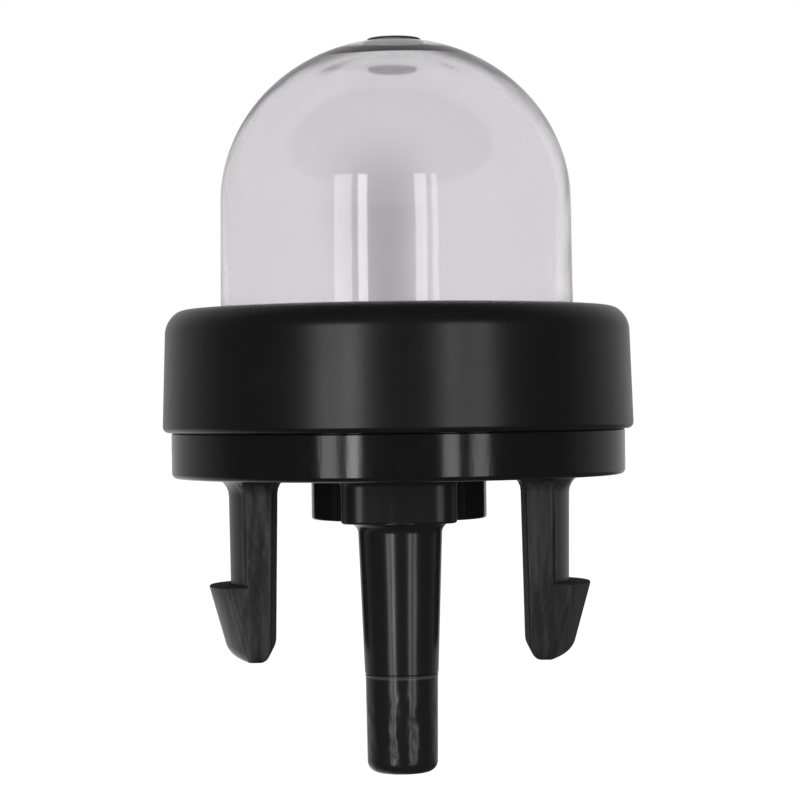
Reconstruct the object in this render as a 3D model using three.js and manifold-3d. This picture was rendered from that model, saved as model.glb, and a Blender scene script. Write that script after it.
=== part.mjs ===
// Snap-in fuel primer bulb: a clear dome clamped between a black base and a
// black retaining collar, with a rubber check valve inside the base.
// Millimetres, +Z up. The origin is on the dome's axis, in the plane of the
// base ring's underside, which is the face that seats on the panel.
import * as THREE from "three";
import { mergeVertices } from "three/addons/utils/BufferGeometryUtils.js";
import Module from "manifold-3d";

const wasm = await Module();
wasm.setup();

// Facets and clearances
const TURN_STEPS = 56;
const SMALL_TURN_STEPS = 32;
const ARC_STEPS = 3;
const CORNER_STEPS = 4;
const BOW_STEPS = 8;
const FIT_CLEARANCE = 0.1;
const PLUG_CLEARANCE = 0.05;
const OVERLAP = 0.6;

// Base ring, which seats on the panel
const RING_RADIUS = 10.59;
const RING_HEIGHT = 2.1;
const RING_BOTTOM_ROUND = 0.25;
const RING_TOP_ROUND = 0.1;
const LAND_RADIUS = 10.25;
const LAND_HEIGHT = 0.2;

// Spigot above the ring, which carries the collar and the bulb's flange
const SPIGOT_HEIGHT = 3.0;
const SPIGOT_WALL = 2.0;
const BEAD_HEIGHT = 0.2;
const BEAD_WIDTH = 0.5;
const BEAD_RISE = 1.2;
const SEAL_GROOVE_INSET = 0.75;
const SEAL_GROOVE_WIDTH = 0.5;
const SEAL_GROOVE_DEPTH = 0.35;
const DISC_THICKNESS = 2.0;

// Retaining collar
const COLLAR_RADIUS = 11.0;
const COLLAR_WALL = 1.25;
const COLLAR_HEIGHT = 5.5;
const COLLAR_DRAFT_DEGREES = 1.9;
const COLLAR_BOTTOM_ROUND = 0.15;
const COLLAR_BEVEL = 0.62;
const COLLAR_BEVEL_ROUND = 0.6;
const COLLAR_MOUTH_CLEARANCE = 0.2;

// Bulb
const FLANGE_CLEARANCE = 0.2;
const FLANGE_WIDTH = 1.3;
const FLANGE_THICKNESS = 1.3;
const BULB_ROOT_STEP = 0.06;
const BULB_WALL = 0.55;
const BULB_CYLINDER_HEIGHT = 6.18;
const DOME_RISE = 7.64;
const DOME_STEPS = 9;
const CROWN_THICKNESS = 0.95;
const CROWN_FLAT_RADIUS = 2.8;
const GATE_RADIUS = 1.18;
const GATE_HEIGHT = 0.12;

// Well boss and cross arm under the base
const BOSS_RADIUS = 4.1;
const BOSS_DEPTH = 2.0;
const BOSS_EDGE_ROUND = 0.12;
const ROOT_FILLET = 0.35;
const WELL_RADIUS = 2.9;
const WELL_FLOOR = 0.8;
const ARM_WIDTH = 5.2;
const ARM_REACH = 6.4;
const ARM_END_RADIUS = 8.0;
const ARM_CORNER = 0.5;

// Nipples
const NIPPLE_OFFSET = 4.0;
const LONG_ROOT_RADIUS = 1.92;
const LONG_STEP_RADIUS = 1.67;
const LONG_TIP_RADIUS = 1.59;
const LONG_LENGTH = 11.28;
const WITNESS_FROM_TIP = 4.2;
const WITNESS_STEP = 0.02;
const WITNESS_WIDTH = 0.12;
const SHORT_ROOT_RADIUS = 1.7;
const SHORT_TIP_RADIUS = 1.58;
const SHORT_LENGTH = 6.0;
const NIPPLE_FILLET = 0.5;
const NIPPLE_TIP_ROUND = 0.5;
const NIPPLE_BORE = 1.5;
const CROSS_PORT_BORE = 1.2;
const CROSS_PORT_DROP = 0.55;

// Snap legs
const LEG_INNER_FACE = 5.79;
const LEG_OUTER_FACE = 7.98;
const LEG_INNER_TAPER = 0.16;
const LEG_OUTER_TAPER = 0.06;
const LEG_SHOULDER = 7.03;
const LEG_WIDTH = 4.8;
const LEG_EDGE_ROUND = 0.25;
const LEG_LENGTH = 8.5;
const PANEL_GAP = 5.0;
const BARB_REACH = 8.95;
const BARB_RUNOUT = 0.98;
const TIP_RISE = 0.75;
const TIP_OUTER_INSET = 0.75;
const TIP_INNER_INSET = 0.5;
const TIP_SIDE_INSET = 0.15;
const TIP_STEPS = 4;

// Check valve: an umbrella for the inlet and a duckbill for the outlet
const UMBRELLA_RADIUS = 5.5;
const UMBRELLA_RIM = 0.35;
const UMBRELLA_CROWN = 1.2;
const UMBRELLA_CROWN_RADIUS = 1.6;
const UMBRELLA_SEAT_WIDTH = 0.6;
const UMBRELLA_UNDERCUT = 0.15;
const PLUG_DEPTH = 1.3;
const PLUG_EDGE_ROUND = 0.12;
const BILL_ROOT_RADIUS = 1.7;
const BILL_LENGTH = 1.45;
const BILL_EDGE_LENGTH = 2.8;
const BILL_EDGE_THICKNESS = 0.55;
const VALVE_BORE = 1.5;
const SLIT_LENGTH = 2.0;
const SLIT_WIDTH = 0.12;
const BILL_STEPS = 3;

// Heights and radii that follow from the sizes above
const landTop = RING_HEIGHT + LAND_HEIGHT;
const collarTop = landTop + COLLAR_HEIGHT;
const spigotTop = landTop + SPIGOT_HEIGHT;
const flangeTop = spigotTop + FLANGE_THICKNESS;
const cylinderTop = flangeTop + BULB_CYLINDER_HEIGHT;
const collarBore = COLLAR_RADIUS - COLLAR_WALL;
const spigotRadius = collarBore - FIT_CLEARANCE;
const spigotInnerRadius = spigotRadius - SPIGOT_WALL;
const sealGrooveRadius = spigotRadius - SEAL_GROOVE_INSET;
const flangeRadius = collarBore - FLANGE_CLEARANCE;
const bulbRootRadius = flangeRadius - FLANGE_WIDTH;
const bulbRadius = bulbRootRadius - BULB_ROOT_STEP;
const bulbInnerRadius = bulbRadius - BULB_WALL;
const legHalfWidth = LEG_WIDTH / 2;

// Outline helpers

/** Replaces each corner [x, y, radius] of a polyline by a tangent arc. */
function roundedOutline(corners) {
  const points = [];
  corners.forEach(([x, y, radius = 0], i) => {
    const here = new THREE.Vector2(x, y);
    const isEnd = i === 0 || i === corners.length - 1;
    if (radius === 0 || isEnd) {
      points.push(here);
      return;
    }
    const inward = new THREE.Vector2(...corners[i - 1].slice(0, 2)).sub(here).normalize();
    const onward = new THREE.Vector2(...corners[i + 1].slice(0, 2)).sub(here).normalize();
    const halfAngle = Math.acos(THREE.MathUtils.clamp(inward.dot(onward), -1, 1)) / 2;
    const toCentre = inward.clone().add(onward).normalize();
    const centre = here.clone().addScaledVector(toCentre, radius / Math.sin(halfAngle));
    const reach = radius / Math.tan(halfAngle);
    const from = here.clone().addScaledVector(inward, reach).sub(centre).angle();
    const to = here.clone().addScaledVector(onward, reach).sub(centre).angle();
    const sweep = THREE.MathUtils.euclideanModulo(to - from + Math.PI, 2 * Math.PI) - Math.PI;
    for (let k = 0; k <= ARC_STEPS; k += 1) {
      const angle = from + (sweep * k) / ARC_STEPS;
      points.push(new THREE.Vector2(
        centre.x + radius * Math.cos(angle),
        centre.y + radius * Math.sin(angle),
      ));
    }
  });
  return points;
}

/** Points along a circle's arc between two angles. */
function arcPoints(x, y, radius, from, to, steps) {
  return Array.from({ length: steps + 1 }, (_, k) => {
    const angle = from + ((to - from) * k) / steps;
    return new THREE.Vector2(x + radius * Math.cos(angle), y + radius * Math.sin(angle));
  });
}

/** Points of an upright quarter ellipse, from its widest point to its top. */
function domePoints(radius, rise, baseHeight, topRadius, steps) {
  const last = Math.acos(topRadius / radius);
  return Array.from({ length: steps + 1 }, (_, k) => {
    const angle = (last * k) / steps;
    return [radius * Math.cos(angle), baseHeight + rise * Math.sin(angle)];
  });
}

// Solid helpers

/** Turns a profile of radius and height about the Z axis. */
function revolve(points, steps = TURN_STEPS) {
  return new THREE.LatheGeometry(points, steps).rotateX(Math.PI / 2);
}

/** Joins outlines of equal point count, each at its own height, into one closed skin. */
function loft(sections) {
  const count = sections[0].outline.length;
  const positions = sections.flatMap(({ outline, z }) => outline.flatMap((p) => [p.x, p.y, z]));
  const index = [];
  for (let s = 0; s < sections.length - 1; s += 1) {
    for (let i = 0; i < count; i += 1) {
      const a = s * count + i;
      const b = s * count + ((i + 1) % count);
      index.push(a, b, b + count);
      index.push(a, b + count, a + count);
    }
  }
  const lowest = THREE.ShapeUtils.triangulateShape(sections[0].outline, []);
  const highest = THREE.ShapeUtils.triangulateShape(sections.at(-1).outline, []);
  const top = (sections.length - 1) * count;
  lowest.forEach(([a, b, c]) => index.push(c, b, a));
  highest.forEach(([a, b, c]) => index.push(top + a, top + b, top + c));
  const geometry = new THREE.BufferGeometry();
  geometry.setAttribute("position", new THREE.Float32BufferAttribute(positions, 3));
  geometry.setIndex(index);
  return geometry;
}

/** A three.js geometry as a solid that can be joined and cut. */
function solidOf(geometry) {
  const bare = geometry.clone();
  bare.deleteAttribute("normal");
  bare.deleteAttribute("uv");
  const merged = mergeVertices(bare, 1e-5);
  return new wasm.Manifold(new wasm.Mesh({
    numProp: 3,
    vertProperties: new Float32Array(merged.attributes.position.array),
    triVerts: new Uint32Array(merged.index.array),
  }));
}

/** A solid as a three.js geometry with flat faces. */
function geometryOf(solid) {
  const mesh = solid.getMesh();
  const geometry = new THREE.BufferGeometry();
  geometry.setAttribute("position", new THREE.BufferAttribute(mesh.vertProperties, 3));
  geometry.setIndex(new THREE.BufferAttribute(mesh.triVerts, 1));
  geometry.computeVertexNormals();
  return geometry;
}

/** An upright round bar between two heights. */
function uprightBar(radius, low, high, x = 0, y = 0, steps = SMALL_TURN_STEPS) {
  const bar = new THREE.CylinderGeometry(radius, radius, high - low, steps).rotateX(Math.PI / 2);
  return bar.translate(x, y, (low + high) / 2);
}

// Base

/** Ring, disc and spigot, turned as one profile. */
function baseBody() {
  const beadLow = landTop + BEAD_RISE;
  const beadHigh = beadLow + BEAD_WIDTH;
  const beadRadius = spigotRadius + BEAD_HEIGHT;
  const grooveOuter = sealGrooveRadius + SEAL_GROOVE_WIDTH / 2;
  const grooveInner = sealGrooveRadius - SEAL_GROOVE_WIDTH / 2;
  const grooveFloor = spigotTop - SEAL_GROOVE_DEPTH;
  return revolve(roundedOutline([
    [0, 0],
    [RING_RADIUS, 0, RING_BOTTOM_ROUND],
    [RING_RADIUS, RING_HEIGHT, RING_TOP_ROUND],
    [LAND_RADIUS, RING_HEIGHT],
    [LAND_RADIUS, landTop],
    [spigotRadius, landTop],
    [spigotRadius, beadLow - BEAD_HEIGHT],
    [beadRadius, beadLow],
    [beadRadius, beadHigh],
    [spigotRadius, beadHigh + BEAD_HEIGHT],
    [spigotRadius, spigotTop],
    [grooveOuter, spigotTop],
    [grooveOuter, grooveFloor],
    [grooveInner, grooveFloor],
    [grooveInner, spigotTop],
    [spigotInnerRadius, spigotTop, RING_BOTTOM_ROUND],
    [spigotInnerRadius, DISC_THICKNESS, ROOT_FILLET],
    [0, DISC_THICKNESS],
  ]));
}

/** Round boss under the disc that holds the valve's well. */
function wellBoss() {
  return revolve(roundedOutline([
    [0, -BOSS_DEPTH],
    [BOSS_RADIUS, -BOSS_DEPTH, BOSS_EDGE_ROUND],
    [BOSS_RADIUS, 0, ROOT_FILLET],
    [BOSS_RADIUS + ROOT_FILLET * 2, 0],
    [BOSS_RADIUS + ROOT_FILLET * 2, OVERLAP],
    [0, OVERLAP],
  ]));
}

/** Plan of the cross arm: straight sides, bowed ends and small round corners. */
function armPlan(grow) {
  const half = ARM_WIDTH / 2 + grow;
  const endRadius = ARM_END_RADIUS + grow;
  const corner = ARM_CORNER + grow;
  const bowCentre = ARM_END_RADIUS - ARM_REACH;
  const cornerX = half - corner;
  const cornerY = bowCentre - Math.sqrt((endRadius - corner) ** 2 - cornerX ** 2);
  const bow = Math.asin(cornerX / (endRadius - corner));
  const quarter = Math.PI / 2;
  const bowedEnd = (y, middle) => (
    arcPoints(0, y, endRadius, middle - bow, middle + bow, BOW_STEPS).slice(0, -1)
  );
  const roundCorner = (x, y, from, to) => arcPoints(x, y, corner, from, to, CORNER_STEPS);
  return [
    ...bowedEnd(bowCentre, -quarter),
    ...roundCorner(cornerX, cornerY, bow - quarter, 0),
    ...roundCorner(cornerX, -cornerY, 0, quarter - bow).slice(0, -1),
    ...bowedEnd(-bowCentre, quarter),
    ...roundCorner(-cornerX, -cornerY, quarter + bow, 2 * quarter),
    ...roundCorner(-cornerX, cornerY, 2 * quarter, 3 * quarter - bow).slice(0, -1),
  ];
}

/** Cross arm that joins both nipples to the well. */
function crossArm() {
  const bottomRound = roundSteps(BOSS_EDGE_ROUND).map(({ inset, rise }) => (
    { z: -BOSS_DEPTH + rise, outline: armPlan(-inset) }
  ));
  const rootFillet = roundSteps(ROOT_FILLET).map(({ inset, rise }) => (
    { z: -rise, outline: armPlan(inset) }
  )).reverse();
  return loft([...bottomRound, ...rootFillet, { z: OVERLAP, outline: armPlan(ROOT_FILLET) }]);
}

/** Inset and rise along a quarter round, from its full inset up to none. */
function roundSteps(radius) {
  return Array.from({ length: ARC_STEPS + 1 }, (_, k) => {
    const angle = (Math.PI / 2) * (k / ARC_STEPS);
    return { inset: radius * (1 - Math.sin(angle)), rise: radius * (1 - Math.cos(angle)) };
  });
}

/** Half profile of a nipple, from its tip on the axis up into the base. */
function nippleProfile({ rootRadius, tipRadius, length, witness }) {
  const root = -BOSS_DEPTH;
  const tip = root - length;
  const side = witness
    ? [
      [LONG_STEP_RADIUS - WITNESS_STEP, tip + WITNESS_FROM_TIP],
      [LONG_STEP_RADIUS - WITNESS_STEP * 2, tip + WITNESS_FROM_TIP],
      [LONG_STEP_RADIUS - WITNESS_STEP * 2, tip + WITNESS_FROM_TIP + WITNESS_WIDTH],
      [LONG_STEP_RADIUS, tip + WITNESS_FROM_TIP + WITNESS_WIDTH],
    ]
    : [];
  return roundedOutline([
    [0, tip],
    [tipRadius, tip, NIPPLE_TIP_ROUND],
    ...side,
    [rootRadius, root, NIPPLE_FILLET],
    [rootRadius + NIPPLE_FILLET, root],
    [rootRadius + NIPPLE_FILLET, root + BOSS_EDGE_ROUND],
    [0, root + BOSS_EDGE_ROUND],
  ]);
}

/** Plan of a leg: a flat inner face, straight sides and a bowed outer face. */
function legPlan(inner, outer, halfWidth, grow = 0) {
  const edge = LEG_EDGE_ROUND;
  const shoulder = LEG_SHOULDER + grow / 2;
  const half = halfWidth + grow;
  const bow = outer + grow - shoulder;
  const bowRadius = (half ** 2 + bow ** 2) / (2 * bow);
  const bowCentre = shoulder + bow - bowRadius;
  const reach = Math.atan2(half, shoulder - bowCentre);
  const edgeX = inner - grow + edge;
  const quarter = Math.PI / 2;
  return [
    ...arcPoints(edgeX, edge - half, edge, 2 * quarter, 3 * quarter, CORNER_STEPS),
    ...arcPoints(bowCentre, 0, bowRadius, -reach, reach, BOW_STEPS),
    ...arcPoints(edgeX, half - edge, edge, quarter, 2 * quarter, CORNER_STEPS),
  ];
}

/** Place of a leg's tapered inner face at a height. */
function legInnerAt(z) {
  return LEG_INNER_FACE + LEG_INNER_TAPER * (-z / LEG_LENGTH);
}

/** Stem of a leg, with its root fillet. */
function legStem() {
  const stem = (z, grow = 0) => {
    const outer = LEG_OUTER_FACE - LEG_OUTER_TAPER * (-z / PANEL_GAP);
    return { z, outline: legPlan(legInnerAt(z), outer, legHalfWidth, grow) };
  };
  const fillet = roundSteps(ROOT_FILLET).map(({ inset, rise }) => stem(-rise, inset));
  return loft([
    stem(-PANEL_GAP - OVERLAP),
    ...fillet.reverse(),
    stem(OVERLAP, ROOT_FILLET),
  ]);
}

/** Barb at a leg's end: its outer face flares up to the flat catch face. */
function legBarb() {
  const barbHeight = LEG_LENGTH - PANEL_GAP;
  const reachAt = (z) => BARB_REACH - BARB_RUNOUT * ((-PANEL_GAP - z) / barbHeight);
  const rounded = Array.from({ length: TIP_STEPS + 1 }, (_, k) => {
    const angle = (Math.PI / 2) * (k / TIP_STEPS);
    const z = -LEG_LENGTH + TIP_RISE * (1 - Math.cos(angle));
    const share = 1 - Math.sin(angle);
    return {
      z,
      outline: legPlan(
        legInnerAt(z) + TIP_INNER_INSET * share,
        reachAt(z) - TIP_OUTER_INSET * share,
        legHalfWidth - TIP_SIDE_INSET * share,
      ),
    };
  });
  const catchFace = legPlan(legInnerAt(-PANEL_GAP), BARB_REACH, legHalfWidth);
  return loft([...rounded, { z: -PANEL_GAP, outline: catchFace }]);
}

/** The one-piece moulded base. */
function makeBase() {
  const leg = solidOf(legStem()).add(solidOf(legBarb()));
  const longNipple = revolve(nippleProfile({
    rootRadius: LONG_ROOT_RADIUS,
    tipRadius: LONG_TIP_RADIUS,
    length: LONG_LENGTH,
    witness: true,
  }), SMALL_TURN_STEPS).translate(0, -NIPPLE_OFFSET, 0);
  const shortNipple = revolve(nippleProfile({
    rootRadius: SHORT_ROOT_RADIUS,
    tipRadius: SHORT_TIP_RADIUS,
    length: SHORT_LENGTH,
    witness: false,
  }), SMALL_TURN_STEPS).translate(0, NIPPLE_OFFSET, 0);
  const solid = [wellBoss(), crossArm(), longNipple, shortNipple]
    .map(solidOf)
    .reduce((whole, piece) => whole.add(piece), solidOf(baseBody()))
    .add(leg)
    .add(leg.rotate([0, 0, 180]));

  const wellFloorZ = -BOSS_DEPTH + WELL_FLOOR;
  const beyondTip = -BOSS_DEPTH - Math.max(LONG_LENGTH, SHORT_LENGTH) - OVERLAP;
  const boreRadius = NIPPLE_BORE / 2;
  const crossPort = new THREE.CylinderGeometry(
    CROSS_PORT_BORE / 2, CROSS_PORT_BORE / 2, NIPPLE_OFFSET, SMALL_TURN_STEPS / 2,
  ).translate(0, -NIPPLE_OFFSET / 2, -CROSS_PORT_DROP);
  const cuts = [
    uprightBar(WELL_RADIUS, wellFloorZ, DISC_THICKNESS + OVERLAP),
    uprightBar(boreRadius, beyondTip, 0, 0, -NIPPLE_OFFSET, SMALL_TURN_STEPS / 2),
    uprightBar(
      boreRadius, beyondTip, DISC_THICKNESS + OVERLAP, 0, NIPPLE_OFFSET, SMALL_TURN_STEPS / 2,
    ),
    crossPort,
  ];
  return geometryOf(cuts.map(solidOf).reduce((whole, cut) => whole.subtract(cut), solid));
}

// Retaining collar

/** Ring that snaps over the spigot's bead and holds the bulb's flange down. */
function makeCollar() {
  const draft = Math.tan(THREE.MathUtils.degToRad(COLLAR_DRAFT_DEGREES));
  const bevelBase = collarTop - COLLAR_BEVEL;
  const radiusAtBevel = COLLAR_RADIUS - draft * (bevelBase - landTop);
  const grooveRadius = collarBore + BEAD_HEIGHT;
  const grooveLow = landTop + BEAD_RISE - FIT_CLEARANCE;
  const grooveHigh = landTop + BEAD_RISE + BEAD_WIDTH + FIT_CLEARANCE;
  const mouthRadius = bulbRootRadius + COLLAR_MOUTH_CLEARANCE;
  return revolve(roundedOutline([
    [collarBore, landTop],
    [COLLAR_RADIUS, landTop, COLLAR_BOTTOM_ROUND],
    [radiusAtBevel, bevelBase, COLLAR_BEVEL_ROUND],
    [radiusAtBevel - COLLAR_BEVEL, collarTop, COLLAR_BEVEL_ROUND],
    [mouthRadius, collarTop, COLLAR_BOTTOM_ROUND],
    [mouthRadius, flangeTop],
    [collarBore, flangeTop],
    [collarBore, grooveHigh + BEAD_HEIGHT],
    [grooveRadius, grooveHigh],
    [grooveRadius, grooveLow],
    [collarBore, grooveLow - BEAD_HEIGHT],
    [collarBore, landTop],
  ]));
}

// Bulb

/** Thin clear dome with a clamped flange, open below. */
function makeBulb() {
  const crownUnderside = cylinderTop + DOME_RISE - CROWN_THICKNESS;
  const crownShare = Math.sqrt(1 - (CROWN_FLAT_RADIUS / bulbInnerRadius) ** 2);
  const innerRise = (crownUnderside - cylinderTop) / crownShare;
  const gateBase = cylinderTop + DOME_RISE * Math.sqrt(1 - (GATE_RADIUS / bulbRadius) ** 2);
  const beadHalf = SEAL_GROOVE_WIDTH / 2 - FIT_CLEARANCE;
  const beadBottom = spigotTop - SEAL_GROOVE_DEPTH + FIT_CLEARANCE;
  const outerDome = domePoints(bulbRadius, DOME_RISE, cylinderTop, GATE_RADIUS, DOME_STEPS);
  const innerDome = domePoints(
    bulbInnerRadius, innerRise, cylinderTop, CROWN_FLAT_RADIUS, DOME_STEPS,
  );
  return revolve(roundedOutline([
    [0, crownUnderside],
    ...innerDome.reverse(),
    [bulbInnerRadius, spigotTop],
    [sealGrooveRadius - beadHalf, spigotTop],
    [sealGrooveRadius - beadHalf, beadBottom],
    [sealGrooveRadius + beadHalf, beadBottom],
    [sealGrooveRadius + beadHalf, spigotTop],
    [flangeRadius, spigotTop],
    [flangeRadius, flangeTop],
    [bulbRootRadius, flangeTop],
    ...outerDome,
    [GATE_RADIUS, gateBase + GATE_HEIGHT],
    [0, gateBase + GATE_HEIGHT],
  ]));
}

// Check valve

/** Outline of the duckbill at one height: a circle that flattens to a thin edge. */
function billPlan(share) {
  const halfLength = THREE.MathUtils.lerp(BILL_ROOT_RADIUS, BILL_EDGE_LENGTH / 2, share);
  const halfThickness = THREE.MathUtils.lerp(BILL_ROOT_RADIUS, BILL_EDGE_THICKNESS / 2, share);
  const steps = SMALL_TURN_STEPS / 2;
  return Array.from({ length: steps }, (_, k) => {
    const angle = (2 * Math.PI * (k + 0.5)) / steps;
    return new THREE.Vector2(halfLength * Math.cos(angle), halfThickness * Math.sin(angle));
  });
}

/** Rubber valve: the umbrella covers the inlet port, the duckbill hangs in the well. */
function makeValve() {
  const seat = DISC_THICKNESS;
  const plugBottom = seat - PLUG_DEPTH;
  const billBottom = plugBottom - BILL_LENGTH;
  const plugRadius = WELL_RADIUS - PLUG_CLEARANCE;
  const seatInner = UMBRELLA_RADIUS - UMBRELLA_SEAT_WIDTH;
  const cap = revolve(roundedOutline([
    [0, plugBottom],
    [plugRadius, plugBottom, PLUG_EDGE_ROUND],
    [plugRadius, seat + UMBRELLA_UNDERCUT],
    [seatInner, seat + UMBRELLA_UNDERCUT],
    [seatInner + UMBRELLA_UNDERCUT, seat],
    [UMBRELLA_RADIUS, seat],
    [UMBRELLA_RADIUS, seat + UMBRELLA_RIM, PLUG_EDGE_ROUND],
    [UMBRELLA_CROWN_RADIUS, seat + UMBRELLA_CROWN, UMBRELLA_RIM],
    [0, seat + UMBRELLA_CROWN],
  ]), SMALL_TURN_STEPS);
  const billLevels = Array.from({ length: BILL_STEPS + 1 }, (_, k) => {
    const share = 1 - k / BILL_STEPS;
    return { z: plugBottom - BILL_LENGTH * share, outline: billPlan(share) };
  });
  const bill = loft([...billLevels, { z: plugBottom + OVERLAP, outline: billPlan(0) }]);
  const boreBottom = plugBottom - BILL_LENGTH / BILL_STEPS;
  const bore = uprightBar(
    VALVE_BORE / 2, boreBottom, seat + UMBRELLA_CROWN + OVERLAP, 0, 0, SMALL_TURN_STEPS / 2,
  );
  const slitHeight = boreBottom - billBottom + 2 * SLIT_WIDTH;
  const slit = new THREE.BoxGeometry(SLIT_LENGTH, SLIT_WIDTH, slitHeight)
    .translate(0, 0, billBottom - SLIT_WIDTH + slitHeight / 2);
  return geometryOf(
    solidOf(cap).add(solidOf(bill)).subtract(solidOf(bore)).subtract(solidOf(slit)),
  );
}

// Assembly

/** A named piece with its own finish. */
function piece(name, geometry, finish) {
  const mesh = new THREE.Mesh(geometry, new THREE.MeshStandardMaterial(finish));
  mesh.name = name;
  return mesh;
}

const primerBulb = new THREE.Group();
primerBulb.name = "primer_bulb";
primerBulb.add(
  piece("base", makeBase(), { color: 0x161617, roughness: 0.35, metalness: 0 }),
  piece("check_valve", makeValve(), { color: 0x24211f, roughness: 0.8, metalness: 0 }),
  piece("bulb", makeBulb(), {
    color: 0xd9d7dc, roughness: 0.08, metalness: 0, transparent: true, opacity: 0.35,
  }),
  piece("retaining_collar", makeCollar(), { color: 0x1a1a1b, roughness: 0.5, metalness: 0 }),
);

export default primerBulb;
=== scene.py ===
"""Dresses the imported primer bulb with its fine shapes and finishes, and lights it in a studio.

The object is a snap-in fuel primer bulb. Its dome's axis is Z, the underside of its base ring is
z = 0, the snap legs lie along X and the long nipple stands on the camera's side, towards -Y.
"""

import logging
import math
from collections.abc import Sequence
from dataclasses import dataclass, field
from enum import Enum
from typing import Any

import bmesh
import bpy
from mathutils import Euler, Matrix, Vector

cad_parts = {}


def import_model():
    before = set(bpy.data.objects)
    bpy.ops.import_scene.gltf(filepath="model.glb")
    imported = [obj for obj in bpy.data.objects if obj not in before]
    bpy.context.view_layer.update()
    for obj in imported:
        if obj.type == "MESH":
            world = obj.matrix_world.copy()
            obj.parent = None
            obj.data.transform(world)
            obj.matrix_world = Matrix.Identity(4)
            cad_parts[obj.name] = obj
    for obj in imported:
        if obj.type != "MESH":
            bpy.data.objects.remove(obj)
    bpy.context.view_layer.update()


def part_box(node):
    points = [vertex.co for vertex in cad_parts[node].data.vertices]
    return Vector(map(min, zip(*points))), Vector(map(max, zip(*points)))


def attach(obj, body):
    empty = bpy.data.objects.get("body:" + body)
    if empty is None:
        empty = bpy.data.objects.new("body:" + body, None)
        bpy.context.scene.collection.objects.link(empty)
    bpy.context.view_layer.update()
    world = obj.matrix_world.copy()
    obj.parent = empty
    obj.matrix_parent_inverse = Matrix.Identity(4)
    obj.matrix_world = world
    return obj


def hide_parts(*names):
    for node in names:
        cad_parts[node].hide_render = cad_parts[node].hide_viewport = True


LOG = logging.getLogger("primer_bulb")
MM = 0.001

MERGE_DISTANCE = 1e-7
LARGE_FACE_WEIGHT = 80
MIX_COLOUR_INPUTS = (6, 7)
MIX_COLOUR_OUTPUT = 2

Colour = tuple[float, float, float]
Corner = tuple[float, float, float]
Outline = list[Vector]


class Cut(Enum):
    """How one solid changes another."""

    JOIN = "UNION"
    TAKE_AWAY = "DIFFERENCE"


class Side(Enum):
    """The two sides of the object that carry a softbox."""

    LEFT = -1
    RIGHT = 1


class Lit(Enum):
    """The pieces that a strip of light falls on."""

    BLACK_PARTS = "black_parts"
    CLEAR_DOME = "clear_dome"


class Term:
    """A shader socket that takes part in Python arithmetic by adding Math nodes."""

    def __init__(self, tree: bpy.types.NodeTree, socket: bpy.types.NodeSocket) -> None:
        """Wraps one output socket of a node tree."""
        self.tree = tree
        self.socket = socket

    def _math(self, operation: str, *values: "Term | float") -> "Term":
        """Adds a Math node.

        Args:
            operation: The node's operation.
            values: Its inputs in order, terms or numbers.

        Returns:
            The node's result.
        """
        node = self.tree.nodes.new("ShaderNodeMath")
        node.operation = operation
        for slot, value in enumerate(values):
            if isinstance(value, Term):
                self.tree.links.new(value.socket, node.inputs[slot])
            else:
                node.inputs[slot].default_value = value
        return Term(self.tree, node.outputs[0])

    def __add__(self, other: "Term | float") -> "Term":
        """Sum."""
        return self._math("ADD", self, other)

    __radd__ = __add__

    def __mul__(self, other: "Term | float") -> "Term":
        """Product."""
        return self._math("MULTIPLY", self, other)

    __rmul__ = __mul__

    def __sub__(self, other: "Term | float") -> "Term":
        """Difference."""
        return self._math("SUBTRACT", self, other)

    def __rsub__(self, other: float) -> "Term":
        """Difference from a number."""
        return self._math("SUBTRACT", other, self)

    def __truediv__(self, other: "Term | float") -> "Term":
        """Quotient."""
        return self._math("DIVIDE", self, other)

    def __abs__(self) -> "Term":
        """Absolute value."""
        return self._math("ABSOLUTE", self)

    def larger(self, other: "Term | float") -> "Term":
        """The larger of two values."""
        return self._math("MAXIMUM", self, other)

    def above(self, limit: float) -> "Term":
        """1 where the value is over the limit, and 0 elsewhere."""
        return self._math("GREATER_THAN", self, limit)

    def step(self, low: float, high: float) -> "Term":
        """A soft step from 0 at low to 1 at high."""
        node = self.tree.nodes.new("ShaderNodeMapRange")
        node.interpolation_type = "SMOOTHSTEP"
        node.inputs["From Min"].default_value = low
        node.inputs["From Max"].default_value = high
        self.tree.links.new(self.socket, node.inputs["Value"])
        return Term(self.tree, node.outputs["Result"])


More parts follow.
